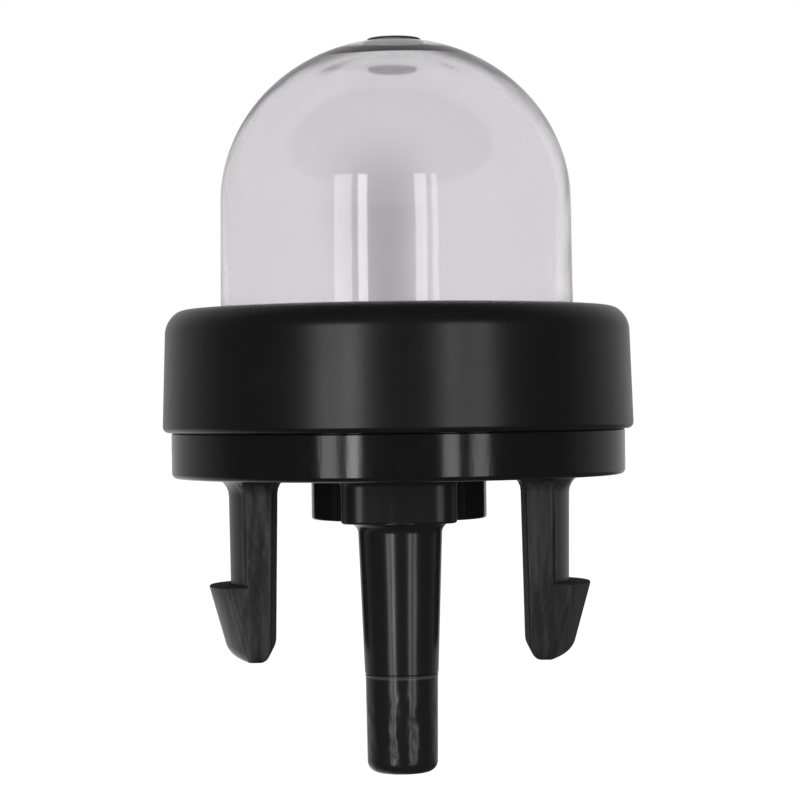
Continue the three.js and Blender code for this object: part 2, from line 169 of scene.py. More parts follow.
class Graph:
    """A node tree that is built in code."""

    def __init__(self, tree: bpy.types.NodeTree) -> None:
        """Wraps a node tree."""
        self.tree = tree

    def node(
        self, kind: str, settings: dict[str, Any] | None = None, **sockets: Any
    ) -> bpy.types.Node:
        """Adds a node.

        Args:
            kind: The node's type.
            settings: Its properties, set first.
            sockets: Values, terms or sockets for its inputs, with _ for a space in a name.

        Returns:
            The new node.
        """
        made = self.tree.nodes.new(kind)
        for key, value in (settings or {}).items():
            setattr(made, key, value)
        for key, value in sockets.items():
            self.feed(made.inputs[key.replace("_", " ")], value)
        return made

    def feed(self, socket: bpy.types.NodeSocket, value: Any) -> None:
        """Links a term or a socket to an input, or sets its value."""
        if isinstance(value, Term):
            self.tree.links.new(value.socket, socket)
        elif isinstance(value, bpy.types.NodeSocket):
            self.tree.links.new(value, socket)
        else:
            socket.default_value = value

    def term(self, socket: bpy.types.NodeSocket) -> Term:
        """An output socket that takes part in arithmetic."""
        return Term(self.tree, socket)

    def parts(self, vector: bpy.types.NodeSocket) -> list[Term]:
        """The X, Y and Z of a vector."""
        split = self.node("ShaderNodeSeparateXYZ", Vector=vector)
        return [self.term(split.outputs[axis]) for axis in "XYZ"]

    def rays(self, *kinds: str) -> list[Term]:
        """For each kind of ray, such as Camera, whether the ray is one."""
        path = self.node("ShaderNodeLightPath")
        return [self.term(path.outputs[f"Is {kind} Ray"]) for kind in kinds]


class Sheet(Graph):
    """A material's node tree with its Principled shader."""

    def __init__(self, name: str) -> None:
        """Makes an empty material with a Principled shader."""
        self.material = bpy.data.materials.new(name)
        self.material.use_nodes = True
        super().__init__(self.material.node_tree)
        self.shader = self.tree.nodes["Principled BSDF"]

    def set(self, **sockets: Any) -> None:
        """Sets or links inputs of the Principled shader, with _ for a space in a name."""
        for key, value in sockets.items():
            self.feed(self.shader.inputs[key.replace("_", " ")], value)

    def place(self) -> bpy.types.NodeSocket:
        """Object coordinates, in metres."""
        return self.node("ShaderNodeTexCoord").outputs["Object"]

    def axes(self) -> list[Term]:
        """The three object coordinates as separate terms, in millimetres."""
        return [axis * (1 / MM) for axis in self.parts(self.place())]

    def noise(
        self, per_mm: float, stretch: Sequence[float] = (1.0, 1.0, 1.0), detail: float = 2.0
    ) -> Term:
        """Noise on object coordinates.

        Args:
            per_mm: Cells to the millimetre.
            stretch: Scale of each axis, under 1 to draw the cells out.
            detail: Octaves of finer noise.

        Returns:
            A value near 0.5.
        """
        mapping = self.node(
            "ShaderNodeMapping", Vector=self.place(), Scale=[s * per_mm / MM for s in stretch]
        )
        made = self.node(
            "ShaderNodeTexNoise", Vector=mapping.outputs["Vector"], Scale=1.0, Detail=detail
        )
        return self.term(made.outputs["Fac"])

    def bump(self, height: Term, depth_mm: float) -> bpy.types.NodeSocket:
        """A normal tilted by a height of the given depth."""
        made = self.node(
            "ShaderNodeBump", Height=height, Distance=depth_mm * MM, Strength=1.0
        )
        return made.outputs["Normal"]

    def over(self, under: Colour | bpy.types.NodeSocket, share: Term, tone: Colour) -> Any:
        """A colour laid over another, by a share from 0 to 1."""
        made = self.node("ShaderNodeMix", {"data_type": "RGBA"})
        for place, value in enumerate((under, tone)):
            colour = (*value, 1.0) if isinstance(value, tuple) else value
            self.feed(made.inputs[MIX_COLOUR_INPUTS[place]], colour)
        self.feed(made.inputs[0], share)
        return made.outputs[MIX_COLOUR_OUTPUT]


@dataclass(frozen=True)
class CollarPlastic:
    """Satin black moulded plastic of the retaining collar."""

    name: str = "collar_satin_black"
    deep: Colour = (0.0085, 0.0087, 0.0085)
    pale: Colour = (0.0115, 0.0115, 0.0117)
    roughness: float = 0.28
    roughness_spread: float = 0.07
    ior: float = 1.5
    grain_per_mm: float = 9.0
    grain_depth_mm: float = 0.0012
    cloud_per_mm: float = 0.55
    cloud_depth_mm: float = 0.004

    def material(self) -> bpy.types.Material:
        """Builds the material."""
        sheet = Sheet(self.name)
        clouds = sheet.noise(self.cloud_per_mm)
        grain = sheet.noise(self.grain_per_mm)
        height = clouds * (self.cloud_depth_mm / self.grain_depth_mm) + grain
        sheet.set(
            Base_Color=sheet.over(self.deep, clouds, self.pale),
            Roughness=(clouds - 0.5) * self.roughness_spread + self.roughness,
            IOR=self.ior,
            Normal=sheet.bump(height, self.grain_depth_mm),
        )
        return sheet.material


@dataclass(frozen=True)
class BasePlastic:
    """Semi-gloss black moulded plastic of the base, with duller, mottled leg faces. The legs and
    barbs carry painted sheen and highlight streaks, their inner and catch faces painted shade,
    and the witness line a painted highlight.
    """

    name: str = "base_semi_gloss_black"
    deep: Colour = (0.0085, 0.0087, 0.0085)
    pale: Colour = (0.011, 0.011, 0.0112)
    # Lighter tone of the legs' mottled front faces: painted sheen, streaked with painted
    # highlights.
    leg_face_mottle_and_sheen: Colour = (0.055, 0.055, 0.056)
    # Paler tone of the legs' bowed outer faces: painted sheen where they turn to the side.
    leg_bow_sheen: Colour = (0.045, 0.045, 0.046)
    # Pale streaked tone of the barbs' flared faces and ridges: painted highlight.
    barb_highlight: Colour = (0.085, 0.085, 0.087)
    arm_face: Colour = (0.012, 0.012, 0.012)
    nipple: Colour = (0.0155, 0.0155, 0.0155)
    # Pale ring along the long nipple's witness line: painted highlight of its bead.
    witness: Colour = (0.07, 0.07, 0.07)
    # Tone of the legs' inner faces and the barbs' catch faces, darker than the leg faces: painted
    # shade.
    shaded_faces: Colour = (0.02, 0.02, 0.02)
    roughness: float = 0.12
    roughness_spread: float = 0.08
    leg_roughness: float = 0.42
    bow_roughness: float = 0.3
    arm_roughness: float = 0.3
    nipple_roughness: float = 0.2
    hidden_roughness: float = 0.95
    right_barb_roughness: float = 0.75
    # How much of the barbs' painted highlight the right barb takes.
    right_barb_highlight_share: float = 0.35
    side_share: float = 0.6
    ior: float = 1.52
    soft: float = 0.1
    fade: float = 0.2
    leg_inner_x: float = 5.4
    leg_root_depth: float = 0.5
    leg_inner_face_x: float = 5.83
    leg_inner_soft: float = 0.04
    leg_inner_slope: float = 0.0188
    leg_flat_y: float = 2.2
    leg_shoulder: tuple[float, float] = (6.95, 7.1)
    ridge_slope: float = 0.283
    ridge_foot: float = 9.18
    catch_x: float = 6.98
    panel_gap: float = 5.0
    arm_face_y: float = 5.2
    nipple_depth: float = 2.3
    witness_depth: float = 8.93
    witness_edge: tuple[float, float] = (0.09, 0.05)
    tip_fade: float = 1.5
    tip_ripple: float = 1.3
    tip_mottle: float = 0.15
    streak_per_mm: float = 1.9
    streak_stretch: float = 0.14
    # Noise levels at which the painted highlight streaks fade in, on the leg faces and on the
    # barbs.
    face_streaks: tuple[float, float] = (0.32, 0.68)
    barb_streaks: tuple[float, float] = (0.1, 0.7)
    ripple_per_mm: float = 1.5
    ripple_stretch: float = 0.7
    drag_per_mm: float = 2.6
    drag_stretch: float = 0.12
    drag_depth_mm: float = 0.004
    mottle_per_mm: float = 2.2
    mottle_stretch: float = 0.6
    mottle_depth_mm: float = 0.05

    def _leg_regions(self, x: Term, y: Term, z: Term) -> dict[str, Term]:
        """Masks of the legs' parts, from the place in millimetres."""
        soft = self.soft
        legs = abs(x).step(self.leg_inner_x - soft, self.leg_inner_x)
        legs = legs * (z * -1).step(soft, self.leg_root_depth)
        front = abs(y).step(self.leg_flat_y - soft, self.leg_flat_y + soft / 2)
        inner = (abs(x) + z * self.leg_inner_slope).step(
            self.leg_inner_face_x + self.leg_inner_soft, self.leg_inner_face_x
        )
        flat = legs * front.larger(inner)
        under_gap = legs * (z * -1).step(self.panel_gap, self.panel_gap + soft)
        past_ridge = (abs(x) - z * self.ridge_slope).step(self.ridge_foot, self.ridge_foot + soft)
        catch = abs(z + self.panel_gap).step(soft, soft / 2) * abs(x).above(self.catch_x)
        return {
            "legs": legs,
            "flat": flat,
            "bow": legs * (1 - flat),
            "barb": under_gap * past_ridge,
            "side": under_gap * abs(x).step(*self.leg_shoulder) * (1 - past_ridge),
            # The legs' inner faces and the catch faces, which are painted darker as shade.
            "shaded_faces": legs * inner.larger(catch),
        }

    def material(self) -> bpy.types.Material:
        """Builds the material."""
        sheet = Sheet(self.name)
        x, y, z = sheet.axes()
        depth = z * -1
        on = self._leg_regions(x, y, z)
        off_legs = 1 - on["legs"]
        right_barb = on["barb"] * x.above(0)
        # Where the barbs' painted highlight goes, weaker on the right barb.
        barb = on["barb"] - right_barb * (1 - self.right_barb_highlight_share)
        shown = 1 - on["shaded_faces"]
        nipple = off_legs * depth.step(self.nipple_depth - self.fade, self.nipple_depth)
        tip = nipple * depth.step(self.witness_depth, self.witness_depth + self.tip_fade)
        # The band of the witness bead's painted highlight.
        line = nipple * abs(z + self.witness_depth).step(*self.witness_edge)
        arm = off_legs * (1 - nipple) * depth.step(self.soft / 5, self.soft)
        arm = arm * abs(y).step(self.arm_face_y - self.fade, self.arm_face_y)

        streaks = sheet.noise(self.streak_per_mm, (1.0, 1.0, self.streak_stretch), detail=3.0)
        drag = sheet.noise(self.drag_per_mm, (1.0, 1.0, self.drag_stretch))
        mottle = sheet.noise(self.mottle_per_mm, (1.0, 1.0, self.mottle_stretch), detail=4.0)
        ripple = sheet.noise(self.ripple_per_mm, (1.0, 1.0, self.ripple_stretch), detail=1.0)
        tip_waves = ripple * self.tip_ripple + mottle * self.tip_mottle
        height = drag * (self.drag_depth_mm / self.mottle_depth_mm)
        height = height + mottle * on["flat"] + tip_waves * tip

        colour = sheet.over(self.deep, drag, self.pale)
        for share, tone in (
            # Mottled leg faces, with painted sheen and painted highlight streaks.
            (on["flat"] * streaks.step(*self.face_streaks), self.leg_face_mottle_and_sheen),
            # Painted sheen on the bowed outer faces.
            (on["bow"] * drag, self.leg_bow_sheen),
            # Painted highlight streaks on the barbs.
            (barb * streaks.step(*self.barb_streaks), self.barb_highlight),
            (on["side"] * self.side_share, self.arm_face),
            # Painted shade on the inner and catch faces.
            (on["shaded_faces"], self.shaded_faces),
            (arm, self.arm_face),
            (nipple, self.nipple),
            # Painted highlight along the witness bead.
            (line, self.witness),
        ):
            colour = sheet.over(colour, share, tone)
        rough = (drag - 0.5) * self.roughness_spread + self.roughness
        for share, value in (
            (on["flat"] * shown, self.leg_roughness),
            (on["bow"] * shown, self.bow_roughness),
            (right_barb, self.right_barb_roughness - self.bow_roughness + self.roughness),
            (on["shaded_faces"], self.hidden_roughness),
            (arm, self.arm_roughness),
            (nipple, self.nipple_roughness),
        ):
            rough = rough + share * (value - self.roughness)
        sheet.set(
            Base_Color=colour,
            Roughness=rough,
            IOR=self.ior,
            Normal=sheet.bump(height, self.mottle_depth_mm),
        )
        return sheet.material


@dataclass(frozen=True)
class ClearPlastic:
    """Clear flexible plastic of the dome, with a faint grey tint."""

    name: str = "bulb_clear_grey"
    colour: Colour = (0.83, 0.815, 0.83)
    gate: Colour = (0.02, 0.02, 0.02)
    gate_roughness: float = 0.5
    gate_foot_mm: float = 20.335
    gate_fade_mm: float = 0.02
    roughness: float = 0.06
    ior: float = 1.5
    ripple_per_mm: float = 0.35
    ripple_depth_mm: float = 0.012

    def material(self) -> bpy.types.Material:
        """Builds the material."""
        sheet = Sheet(self.name)
        ripple = sheet.noise(self.ripple_per_mm, detail=1.0)
        on_gate = sheet.axes()[2].step(
            self.gate_foot_mm, self.gate_foot_mm + self.gate_fade_mm
        )
        sheet.set(
            Base_Color=sheet.over(self.colour, on_gate, self.gate),
            Roughness=on_gate * self.gate_roughness + self.roughness,
            IOR=self.ior,
            Transmission_Weight=1.0,
            Normal=sheet.bump(ripple, self.ripple_depth_mm),
        )
        return sheet.material


@dataclass(frozen=True)
class ValveRubber:
    """Matt black rubber of the check valve."""

    name: str = "valve_rubber"
    deep: Colour = (0.018, 0.017, 0.016)
    pale: Colour = (0.03, 0.028, 0.027)
    roughness: float = 0.62
    roughness_spread: float = 0.1
    bloom_per_mm: float = 1.2
    grain_per_mm: float = 12.0
    grain_depth_mm: float = 0.004

    def material(self) -> bpy.types.Material:
        """Builds the material."""
        sheet = Sheet(self.name)
        bloom = sheet.noise(self.bloom_per_mm)
        sheet.set(
            Base_Color=sheet.over(self.deep, bloom, self.pale),
            Roughness=(bloom - 0.5) * self.roughness_spread + self.roughness,
            Normal=sheet.bump(sheet.noise(self.grain_per_mm), self.grain_depth_mm),
        )
        return sheet.material


def rounded(corners: Sequence[Corner], steps: int = 8) -> Outline:
    """Replaces the corners of an open polyline by tangent arcs.

    Args:
        corners: Points as x, y and radius, in millimetres. A radius of 0 keeps the corner.
        steps: Pieces in each arc.

    Returns:
        The outline's points, in millimetres.
    """
    points: Outline = []
    for i, (x, y, radius) in enumerate(corners):
        here = Vector((x, y))
        if radius == 0 or i in (0, len(corners) - 1):
            points.append(here)
            continue
        inward = (Vector(corners[i - 1][:2]) - here).normalized()
        onward = (Vector(corners[i + 1][:2]) - here).normalized()
        half = math.acos(max(-1.0, min(1.0, inward.dot(onward)))) / 2
        centre = here + (inward + onward).normalized() * (radius / math.sin(half))
        start = here + inward * (radius / math.tan(half)) - centre
        end = here + onward * (radius / math.tan(half)) - centre
        first = math.atan2(start.y, start.x)
        sweep = (math.atan2(end.y, end.x) - first + math.pi) % (2 * math.pi) - math.pi
        for k in range(steps + 1):
            angle = first + sweep * k / steps
            points.append(centre + radius * Vector((math.cos(angle), math.sin(angle))))
    return points


def arc(centre: Vector, radius: float, first: float, last: float, steps: int) -> Outline:
    """Points along a circle's arc between two angles in radians."""
    return [
        centre + radius * Vector((math.cos(a), math.sin(a)))
        for a in (first + (last - first) * k / steps for k in range(steps + 1))
    ]


def object_of(name: str, data: bpy.types.ID) -> bpy.types.Object:
    """Puts a mesh, curve, lamp or camera into the scene as an object at the origin."""
    made = bpy.data.objects.new(name, data)
    bpy.context.scene.collection.objects.link(made)
    return made


def finished_mesh(name: str, build: bmesh.types.BMesh) -> bpy.types.Object:
    """Merges doubles, turns the faces outwards and makes an object of a bmesh."""
    bmesh.ops.remove_doubles(build, verts=build.verts, dist=MERGE_DISTANCE)
    bmesh.ops.recalc_face_normals(build, faces=build.faces)
    mesh = bpy.data.meshes.new(name)
    build.to_mesh(mesh)
    build.free()
    return object_of(name, mesh)


def bridged(build: bmesh.types.BMesh, rings: Sequence[Sequence[bmesh.types.BMVert]]) -> None:
    """Joins each ring of points to the next by a band of faces."""
    for lower, upper in zip(rings, rings[1:]):
        for k in range(len(lower)):
            after = (k + 1) % len(lower)
            build.faces.new((lower[k], lower[after], upper[after], upper[k]))


def turned(name: str, profile: Outline, steps: int, offset_y: float = 0.0) -> bpy.types.Object:
    """Turns a profile about an upright axis.

    Args:
        name: The object's name.
        profile: Radius and height, in millimetres, closed by the axis or by its own last point.
        steps: Facets round the axis.
        offset_y: The axis's place along Y, in millimetres.

    Returns:
        A closed object, in metres.
    """
    build = bmesh.new()
    angles = [2 * math.pi * k / steps for k in range(steps)]
    bridged(build, [
        [
            build.verts.new((
                p.x * math.cos(a) * MM,
                (p.x * math.sin(a) + offset_y) * MM,
                p.y * MM,
            ))
            for a in angles
        ]
        for p in profile
    ])
    return finished_mesh(name, build)


def lofted(name: str, sections: Sequence[tuple[float, Outline]]) -> bpy.types.Object:
    """Joins outlines of equal point count, each at its height, into one closed object.

    Args:
        name: The object's name.
        sections: Height and outline, in millimetres.

    Returns:
        The object, in metres.
    """
    build = bmesh.new()
    rings = [[build.verts.new((p.x * MM, p.y * MM, z * MM)) for p in o] for z, o in sections]
    bridged(build, rings)
    build.faces.new(rings[0])
    build.faces.new(rings[-1])
    return finished_mesh(name, build)


def baked(piece: bpy.types.Object) -> bpy.types.Object:
    """Applies every modifier of an object to its mesh."""
    graph = bpy.context.evaluated_depsgraph_get()
    mesh = bpy.data.meshes.new_from_object(piece.evaluated_get(graph), depsgraph=graph)
    mesh.name = piece.name
    if piece.type != "MESH":
        made = object_of(piece.name + "_mesh", mesh)
        bpy.data.objects.remove(piece)
        return made
    piece.modifiers.clear()
    piece.data = mesh
    return piece


def combined(
    piece: bpy.types.Object, others: Sequence[bpy.types.Object], how: Cut
) -> bpy.types.Object:
    """Joins other solids to one, or cuts them out of it, and removes them.

    Args:
        piece: The solid that changes.
        others: The solids that join or cut it.
        how: Join or take away.

    Returns:
        The changed solid.
    """
    for other in others:
        modifier = piece.modifiers.new(other.name, "BOOLEAN")
        modifier.operation = how.value
        modifier.solver = "MANIFOLD"
        modifier.object = other
    baked(piece)
    for other in others:
        bpy.data.objects.remove(other)
    return piece


def smoothed(piece: bpy.types.Object, angle_degrees: float) -> bpy.types.Object:
    """Shades an object smoothly up to an angle, with large faces kept flat."""
    piece.data.shade_smooth()
    piece.data.set_sharp_from_angle(angle=math.radians(angle_degrees))
    modifier = piece.modifiers.new("flat_faces", "WEIGHTED_NORMAL")
    modifier.keep_sharp = True
    modifier.weight = LARGE_FACE_WEIGHT
    return baked(piece)


def dressed(
    piece: bpy.types.Object, material: bpy.types.Material, node: str
) -> bpy.types.Object:
    """Gives a piece its finish and lets it stand for a CAD node.

    Args:
        piece: The piece.
        material: Its finish.
        node: The CAD node that it replaces.

    Returns:
        The piece.
    """
    piece.data.materials.clear()
    piece.data.materials.append(material)
    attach(piece, "root")
    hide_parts(node)
    LOG.info("%s: %d faces, in place of %s", piece.name, len(piece.data.polygons), node)
    return piece


class NodeTree(Graph):
    """A Geometry Nodes tree that is built in code."""

    def __init__(self, name: str, inputs: dict[str, str]) -> None:
        """Makes a tree with a geometry input and output, and named inputs by socket type."""
        super().__init__(bpy.data.node_groups.new(name, "GeometryNodeTree"))
        face = self.tree.interface
        face.new_socket("Geometry", in_out="INPUT", socket_type="NodeSocketGeometry")
        for label, kind in inputs.items():
            face.new_socket(label, in_out="INPUT", socket_type=kind)
        face.new_socket("Geometry", in_out="OUTPUT", socket_type="NodeSocketGeometry")
        self.entry = self.node("NodeGroupInput")
        self.exit = self.node("NodeGroupOutput")

    def finish(self, geometry: bpy.types.NodeSocket) -> None:
        """Ends the tree: instances made real, and the material set."""
        real = self.node("GeometryNodeRealizeInstances", Geometry=geometry)
        made = self.node(
            "GeometryNodeSetMaterial",
            Geometry=real.outputs[0],
            Material=self.entry.outputs["Material"],
        )
        self.tree.links.new(made.outputs[0], self.exit.inputs[0])

    def apply(self, piece: bpy.types.Object, values: dict[str, Any]) -> bpy.types.Object:
        """Puts the tree on an object with its inputs, and turns the result into a plain mesh."""
        modifier = piece.modifiers.new(self.tree.name, "NODES")
        modifier.node_group = self.tree
        for item in self.tree.interface.items_tree:
            if item.item_type == "SOCKET" and item.in_out == "INPUT" and item.name in values:
                modifier[item.identifier] = values[item.name]
        return baked(piece)


@dataclass
class RetainingCollar:
    """The satin ring that clamps the bulb's flange. Sizes in millimetres."""

    radius: float = 11.0
    draft_degrees: float = 1.9
    bevel: float = 0.62
    bevel_round: float = 1.25
    top_round: float = 0.8
    skirt: float = 0.18
    bottom_round: float = 0.28
    edge_round: float = 0.08
    mouth_radius: float = 8.45
    bore_radius: float = 9.75
    lip: float = 1.2
    crease_degrees: float = 30.0
    steps: int = 192
    finish: CollarPlastic = field(default_factory=CollarPlastic)

    def profile(self, low: float, high: float) -> Outline:
        """The ring's section between its two faces, as radius and height."""
        base = high - self.bevel
        top_radius = self.radius - math.tan(math.radians(self.draft_degrees)) * (base - low)
        return rounded([
            (self.bore_radius, (low + high) / 2, 0),
            (self.bore_radius, low, self.edge_round),
            (self.radius, low, self.bottom_round),
            (top_radius, base, self.bevel_round),
            (top_radius - self.bevel, high, self.top_round),
            (self.mouth_radius, high, self.edge_round),
            (self.mouth_radius, high - self.lip, 0),
            (self.bore_radius, high - self.lip, 0),
            (self.bore_radius, (low + high) / 2, 0),
        ])

    def build(self) -> bpy.types.Object:
        """Turns the ring's section with Geometry Nodes.

        Returns:
            The dressed ring.
        """
        low, high = (corner.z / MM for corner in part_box("retaining_collar"))
        material = self.finish.material()
        curve = bpy.data.curves.new("collar_section", "CURVE")
        curve.dimensions = "3D"
        points = self.profile(low - self.skirt, high)[:-1]
        spline = curve.splines.new("POLY")
        spline.points.add(len(points) - 1)
        for target, p in zip(spline.points, points):
            target.co = ((p.x - self.radius) * MM, -p.y * MM, 0, 1)
        spline.use_cyclic_u = True
        section = object_of("retaining_ring", curve)

        tree = NodeTree("TurnedRing", {
            "Radius": "NodeSocketFloat",
            "Steps": "NodeSocketInt",
            "Material": "NodeSocketMaterial",
        })
        path = tree.node(
            "GeometryNodeCurvePrimitiveCircle",
            Radius=tree.entry.outputs["Radius"],
            Resolution=tree.entry.outputs["Steps"],
        )
        swept = tree.node(
            "GeometryNodeCurveToMesh",
            Curve=path.outputs[0],
            Profile_Curve=tree.entry.outputs["Geometry"],
        )
        tree.finish(swept.outputs[0])
        ring = tree.apply(section, {
            "Radius": self.radius * MM,
            "Steps": self.steps,
            "Material": material,
        })
        build = bmesh.new()
        build.from_mesh(ring.data)
        bpy.data.objects.remove(ring)
        ring = finished_mesh("retaining_ring", build)
        ring = smoothed(ring, self.crease_degrees)
        return dressed(ring, material, "retaining_collar")


@dataclass
class ClearBulb:
    """The clear dome with its clamped flange. Sizes in millimetres."""

    bottom: float = 5.3
    radius: float = 8.19
    root_radius: float = 8.25
    wall: float = 0.39
    core_shift: float = -0.15
    cylinder_top: float = 12.78
    rise: float = 7.64
    crown_thickness: float = 1.29
    crown_flat: float = 3.35
    gate_radius: float = 1.25
    gate_height: float = 0.12
    gate_round: float = 0.04
    flange_radius: float = 9.55
    flange_inner: float = 7.6
    flange_thickness: float = 1.3
    flange_round: float = 0.1
    core_overrun: float = 0.5
    crease_degrees: float = 35.0
    dome_steps: int = 40
    steps: int = 256
    finish: ClearPlastic = field(default_factory=ClearPlastic)

    def _dome(self, radius: float, rise: float, stop_radius: float) -> list[Corner]:
        """Points of an upright quarter ellipse, from its widest point to a smaller radius."""
        last = math.acos(stop_radius / radius)
        return [
            (
                radius * math.cos(last * k / self.dome_steps),
                self.cylinder_top + rise * math.sin(last * k / self.dome_steps),
                0.0,
            )
            for k in range(self.dome_steps + 1)
        ]

    def build(self) -> bpy.types.Object:
        """Turns the dome's wall and flange as one closed shell.

        Returns:
            The dressed bulb.
        """
        top_of_flange = self.bottom + self.flange_thickness
        inner_radius = self.radius - self.wall
        under = self.cylinder_top + self.rise - self.crown_thickness
        share = math.sqrt(1 - (self.crown_flat / inner_radius) ** 2)
        inner_rise = (under - self.cylinder_top) / share
        gate_base = self.cylinder_top + self.rise * math.sqrt(
            1 - (self.gate_radius / self.radius) ** 2
        )
        inner = self._dome(inner_radius, inner_rise, self.crown_flat)
        outer = self._dome(self.radius, self.rise, self.gate_radius)
        core = turned("core", rounded([
            (0, self.bottom - self.core_overrun, 0),
            (self.flange_inner, self.bottom - self.core_overrun, 0),
            (self.flange_inner, self.bottom, 0),
            *inner,
            (0, under, 0),
        ]), self.steps)
        core.data.transform(Matrix.Translation((self.core_shift * MM, 0, 0)))
        shell = turned("clear_dome", rounded([
            (0, self.bottom, 0),
            (self.flange_radius, self.bottom, self.flange_round),
            (self.flange_radius, top_of_flange, self.flange_round),
            (self.root_radius, top_of_flange, self.flange_round),
            *outer,
            (self.gate_radius, gate_base + self.gate_height, self.gate_round),
            (0, gate_base + self.gate_height, 0),
        ]), self.steps)
        shell = smoothed(combined(shell, [core], Cut.TAKE_AWAY), self.crease_degrees)
        return dressed(shell, self.finish.material(), "bulb")


@dataclass
class MouldedBase:
    """The one-piece base: ring, spigot, boss, cross arm, legs and nipples. Millimetres."""

    ring_radius: float = 10.59
    ring_height: float = 2.1
    ring_round: float = 0.25
    ring_top_round: float = 0.08
    land_radius: float = 10.25
    land_top: float = 2.11
    spigot_radius: float = 9.65
    spigot_inner: float = 7.65
    spigot_top: float = 5.3
    disc: float = 2.0
    boss_radius: float = 4.1
    boss_depth: float = 2.0
    edge_round: float = 0.12
    root_fillet: float = 0.35
    well_radius: float = 2.9
    well_floor: float = 0.8
    arm_width: float = 5.2
    arm_reach: float = 6.4
    arm_end_radius: float = 60.0
    arm_corner: float = 1.05
    arm_bow_steps: int = 24
    arm_corner_steps: int = 8
    nipple_offset: float = 4.0
    long_nipple_length: float = 11.28
    long_nipple_radii: tuple[float, float] = (1.92, 1.59)
    short_nipple_length: float = 6.0
    short_nipple_radii: tuple[float, float] = (1.7, 1.58)
    nipple_fillet: float = 0.5
    nipple_shift: float = 0.04
    nipple_tip_round: float = 0.5
    witness_height: float = 4.37
    witness_radius: float = 1.67
    witness_round: float = 0.01
    witness_line: tuple[tuple[float, float], ...] = (
        (0.03, -0.02), (0.01, 0.0), (0.01, 0.05), (0.045, 0.07), (0.045, 0.1), (0.0, 0.14),
    )
    bore_radius: float = 0.75
    bore_lead: float = 0.15
    bore_overrun: float = 0.5
    leg_inner: float = 5.79
    leg_outer: float = 7.98
    leg_inner_taper: float = 0.16
    leg_outer_taper: float = 0.06
    leg_shoulder: float = 7.03
    leg_half_width: float = 2.4
    leg_edge: float = 0.12
    leg_fillet: float = 0.85
    leg_bow_steps: int = 32
    shoulder_round: float = 0.12
    ridge_reach: float = 7.85
    ridge_half: float = 2.38
    ridge_low: float = -7.9
    ridge_least: float = 0.04
    ridge_round: float = 0.1
    leg_length: float = 8.5
    panel_gap: float = 5.0
    barb_reach: float = 8.95
    barb_runout: float = 0.98
    barb_edge: float = 0.12
    barb_edge_steps: int = 4
    flank_heights: tuple[float, ...] = (-7.2, -6.5, -5.8)
    tip_steps: int = 14
    tip_rise: float = 0.75
    tip_outer: float = 0.75
    tip_inner: float = 0.5
    tip_side: float = 0.15
    overlap: float = 0.6
    crease_degrees: float = 28.0
    steps: int = 192
    small_steps: int = 96
    finish: BasePlastic = field(default_factory=BasePlastic)

    def body(self) -> bpy.types.Object:
        """Ring, disc, spigot and well boss, turned as one."""
        return turned("moulded_base", rounded([
            (0, -self.boss_depth, 0),
            (self.boss_radius, -self.boss_depth, self.edge_round),
            (self.boss_radius, 0, self.root_fillet),
            (self.ring_radius, 0, self.ring_round),
            (self.ring_radius, self.ring_height, self.ring_top_round),
            (self.land_radius, self.ring_height, 0),
            (self.land_radius, self.land_top, 0),
            (self.spigot_radius, self.land_top, 0),
            (self.spigot_radius, self.spigot_top, 0),
            (self.spigot_inner, self.spigot_top, self.ring_round),
            (self.spigot_inner, self.disc, self.root_fillet),
            (0, self.disc, 0),
        ]), self.steps)

    def _round(self, radius: float, steps: int = 6) -> list[tuple[float, float]]:
        """Inset and rise along a quarter round, from its full inset to none."""
        angles = (math.pi / 2 * k / steps for k in range(steps + 1))
        return [(radius * (1 - math.sin(a)), radius * (1 - math.cos(a))) for a in angles]

    def _arm_plan(self, grow: float) -> Outline:
        """Plan of the cross arm, grown by a margin."""
        half = self.arm_width / 2 + grow
        end = self.arm_end_radius + grow
        corner = self.arm_corner + grow
        bow_y = self.arm_end_radius - self.arm_reach
        x = half - corner
        y = bow_y - math.sqrt((end - corner) ** 2 - x**2)
        bow = math.asin(x / (end - corner))
        quarter = math.pi / 2
        long, short = self.arm_bow_steps, self.arm_corner_steps
        return [
            *arc(Vector((0, bow_y)), end, -quarter - bow, -quarter + bow, long)[:-1],
            *arc(Vector((x, y)), corner, -quarter + bow, 0, short),
            *arc(Vector((x, -y)), corner, 0, quarter - bow, short)[:-1],
            *arc(Vector((0, -bow_y)), end, quarter - bow, quarter + bow, long)[:-1],
            *arc(Vector((-x, -y)), corner, quarter + bow, 2 * quarter, short),
            *arc(Vector((-x, y)), corner, 2 * quarter, 3 * quarter - bow, short)[:-1],
        ]

    def cross_arm(self) -> bpy.types.Object:
        """The arm that joins the nipples to the boss."""
        edge = [
            (-self.boss_depth + rise, self._arm_plan(-inset))
            for inset, rise in self._round(self.edge_round)
        ]
        root = [
            (-rise, self._arm_plan(inset)) for inset, rise in self._round(self.root_fillet)
        ][::-1]
        cap = (self.overlap, self._arm_plan(self.root_fillet))
        return lofted("cross_arm", [*edge, *root, cap])

